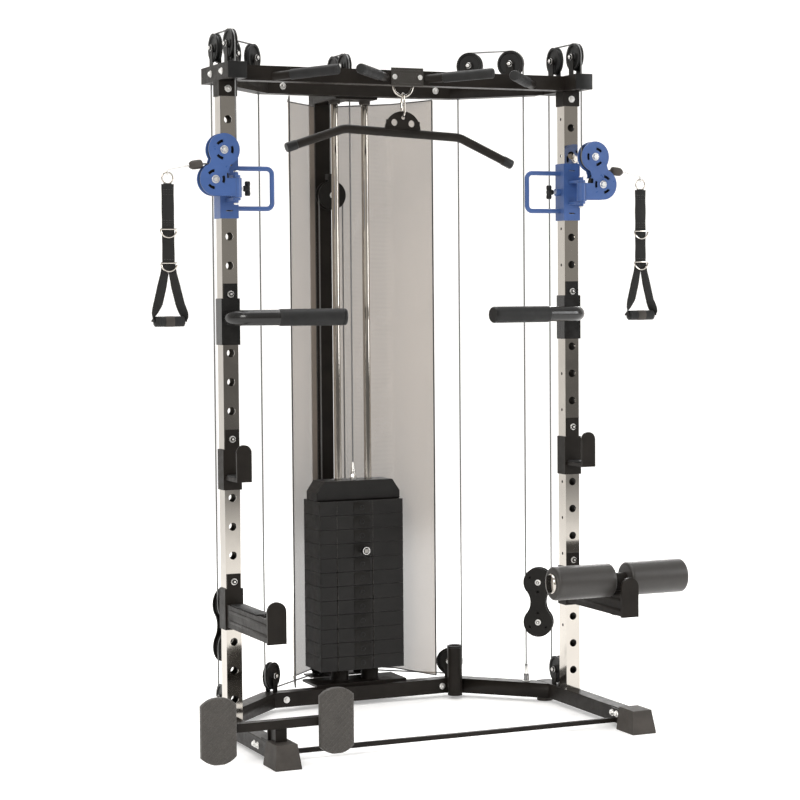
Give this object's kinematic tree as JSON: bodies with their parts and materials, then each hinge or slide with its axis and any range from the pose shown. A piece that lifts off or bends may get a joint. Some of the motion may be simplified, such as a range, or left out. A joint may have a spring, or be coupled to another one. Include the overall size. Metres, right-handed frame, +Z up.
{
  "type": "functional trainer",
  "caption": "Freestanding cable trainer with a weight stack behind chrome uprights, swivelling cable carriages, pull-up bar, dip handles, bar cups, spotter arms, leg hold-down and footrest.",
  "frame": {"origin": "middle of the footprint, on the floor", "axes": "+X to the right of the user who faces the machine, +Y away from the user towards the weight stack, +Z up"},
  "size_m": [1.742, 1.263, 2.206],
  "materials": {
    "frame_black": "satin powder coat",
    "rubber_black": "matte moulded rubber",
    "chrome_tube": "polished chrome plate",
    "bright_steel": "zinc plated",
    "patterned_plate": "pressed plate, satin",
    "mesh_cloth": "open see-through weave",
    "bracket_black": "satin",
    "pulley_nylon": "moulded nylon",
    "plate_iron": "satin black paint",
    "pad_rubber": "diamond textured",
    "cable_steel": "coated wire rope",
    "blue_paint": "satin powder coat",
    "knob_plastic": "moulded",
    "webbing": "woven nylon",
    "grip_rubber": "ribbed",
    "foam": "closed cell foam"
  },
  "bodies": {
    "frame": {"foot_beams": "frame_black", "base_wings": "frame_black", "base_centre_beam": "frame_black", "base_spine": "frame_black", "rubber_feet": "rubber_black", "rear_post": "frame_black", "left_upright": "chrome_tube", "right_upright": "chrome_tube", "side_top_beams": "frame_black", "top_wings": "frame_black", "top_rear_frame": "frame_black", "upright_clamps": "frame_black", "pull_up_bar": "frame_black", "hook_plate": "patterned_plate", "mesh_shroud": "mesh_cloth", "guide_rods": "chrome_tube", "storage_tube": "frame_black", "floor_tie_bar": "frame_black", "frame_bolts": "bright_steel", "pulley_forks": "bracket_black", "frame_pulleys": "pulley_nylon", "dip_handles": "frame_black", "j_cups": "frame_black", "spotter_arms": "frame_black", "resting_plates": "plate_iron", "footrest_frame": "frame_black", "footrest_pads": "pad_rubber", "fixed_cables": "cable_steel", "left_side_block": "bracket_black", "right_side_block": "bracket_black"},
    "stack": {"weight_cap": "plate_iron", "selector_stem": "bright_steel", "lifted_plates": "plate_iron", "lift_run": "cable_steel"},
    "pin": {"selector_pin": "bright_steel"},
    "float": {"float_block": "bracket_black", "back_run": "cable_steel", "centre_runs": "cable_steel"},
    "left_carriage": {"left_carriage": "blue_paint", "left_carriage_run": "cable_steel"},
    "left_arm": {"left_pulley_arm": "blue_paint", "left_cable_stop": "rubber_black"},
    "left_upper_pulley": {"left_upper_pulley": "pulley_nylon"},
    "left_lower_pulley": {"left_lower_pulley": "pulley_nylon"},
    "left_pop_pin": {"left_pop_pin": "knob_plastic"},
    "left_strap": {"left_strap": "webbing"},
    "left_grip": {"left_grip": "grip_rubber"},
    "right_carriage": {"right_carriage": "blue_paint", "right_carriage_run": "cable_steel"},
    "right_arm": {"right_pulley_arm": "blue_paint", "right_cable_stop": "rubber_black"},
    "right_upper_pulley": {"right_upper_pulley": "pulley_nylon"},
    "right_lower_pulley": {"right_lower_pulley": "pulley_nylon"},
    "right_pop_pin": {"right_pop_pin": "knob_plastic"},
    "right_strap": {"right_strap": "webbing"},
    "right_grip": {"right_grip": "grip_rubber"},
    "roller_holder": {"roller_holder": "frame_black"},
    "left_roller": {"left_roller": "foam"},
    "right_roller": {"right_roller": "foam"},
    "lat_bar": {"lat_bar": "frame_black"}
  },
  "joints": [
    {"name": "weight_lift", "type": "slide", "parent": "frame", "child": "stack", "axis": [0, 0, 1], "range_m": [0, 1.2], "deforming": ["lift_run"]},
    {"name": "float_travel", "type": "slide", "parent": "frame", "child": "float", "axis": [0, 0, -1], "range_m": [0, 1.2], "deforming": ["back_run", "centre_runs"]},
    {"name": "selector_pin_pull", "type": "slide", "parent": "stack", "child": "pin", "axis": [0, -1, 0], "range_m": [0, 0.11]},
    {"name": "left_carriage_height", "type": "slide", "parent": "frame", "child": "left_carriage", "axis": [0, 0, 1], "range_m": [-0.12, 0.12], "deforming": ["left_carriage_run"]},
    {"name": "left_arm_swivel", "type": "hinge", "parent": "left_carriage", "child": "left_arm", "pos_m": [-0.597, -0.2315, 1.72], "axis": [0, 0, 1], "range_deg": [-30, 90]},
    {"name": "left_upper_pulley_spin", "type": "hinge", "parent": "left_arm", "child": "left_upper_pulley", "pos_m": [-0.6405, -0.2315, 1.832], "axis": [0, 1, 0], "continuous": true},
    {"name": "left_lower_pulley_spin", "type": "hinge", "parent": "left_arm", "child": "left_lower_pulley", "pos_m": [-0.669, -0.2315, 1.742], "axis": [0, 1, 0], "continuous": true},
    {"name": "left_pop_pin_travel", "type": "slide", "parent": "left_carriage", "child": "left_pop_pin", "axis": [-1, 0, 0], "range_m": [0, 0.006]},
    {"name": "left_strap_swing", "type": "hinge", "parent": "left_arm", "child": "left_strap", "pos_m": [-0.817, -0.2315, 1.761], "axis": [0, 1, 0], "range_deg": [-20, 30]},
    {"name": "left_grip_spin", "type": "hinge", "parent": "left_strap", "child": "left_grip", "pos_m": [-0.817, -0.2315, 1.312], "axis": [1, 0, 0], "continuous": true},
    {"name": "right_carriage_height", "type": "slide", "parent": "frame", "child": "right_carriage", "axis": [0, 0, 1], "range_m": [-0.12, 0.12], "deforming": ["right_carriage_run"]},
    {"name": "right_arm_swivel", "type": "hinge", "parent": "right_carriage", "child": "right_arm", "pos_m": [0.597, -0.2315, 1.72], "axis": [0, 0, 1], "range_deg": [-90, 30]},
    {"name": "right_upper_pulley_spin", "type": "hinge", "parent": "right_arm", "child": "right_upper_pulley", "pos_m": [0.6405, -0.2315, 1.832], "axis": [0, 1, 0], "continuous": true},
    {"name": "right_lower_pulley_spin", "type": "hinge", "parent": "right_arm", "child": "right_lower_pulley", "pos_m": [0.669, -0.2315, 1.742], "axis": [0, 1, 0], "continuous": true},
    {"name": "right_pop_pin_travel", "type": "slide", "parent": "right_carriage", "child": "right_pop_pin", "axis": [1, 0, 0], "range_m": [0, 0.006]},
    {"name": "right_strap_swing", "type": "hinge", "parent": "right_arm", "child": "right_strap", "pos_m": [0.817, -0.2315, 1.761], "axis": [0, 1, 0], "range_deg": [-30, 20]},
    {"name": "right_grip_spin", "type": "hinge", "parent": "right_strap", "child": "right_grip", "pos_m": [0.817, -0.2315, 1.312], "axis": [1, 0, 0], "continuous": true},
    {"name": "roller_lift", "type": "slide", "parent": "frame", "child": "roller_holder", "axis": [0, 0, 1], "range_m": [0, 0.05]},
    {"name": "left_roller_spin", "type": "hinge", "parent": "roller_holder", "child": "left_roller", "pos_m": [0.48, -0.461, 0.47], "axis": [1, 0, 0], "continuous": true},
    {"name": "right_roller_spin", "type": "hinge", "parent": "roller_holder", "child": "right_roller", "pos_m": [0.72, -0.461, 0.47], "axis": [1, 0, 0], "continuous": true},
    {"name": "lat_bar_swing", "type": "hinge", "parent": "frame", "child": "lat_bar", "pos_m": [0, -0.1425, 2.019], "axis": [1, 0, 0], "range_deg": [-30, 30]}
  ],
  "couplings": [
    {"joint": "float_travel", "follows": "weight_lift", "ratio": 1}
  ]
}
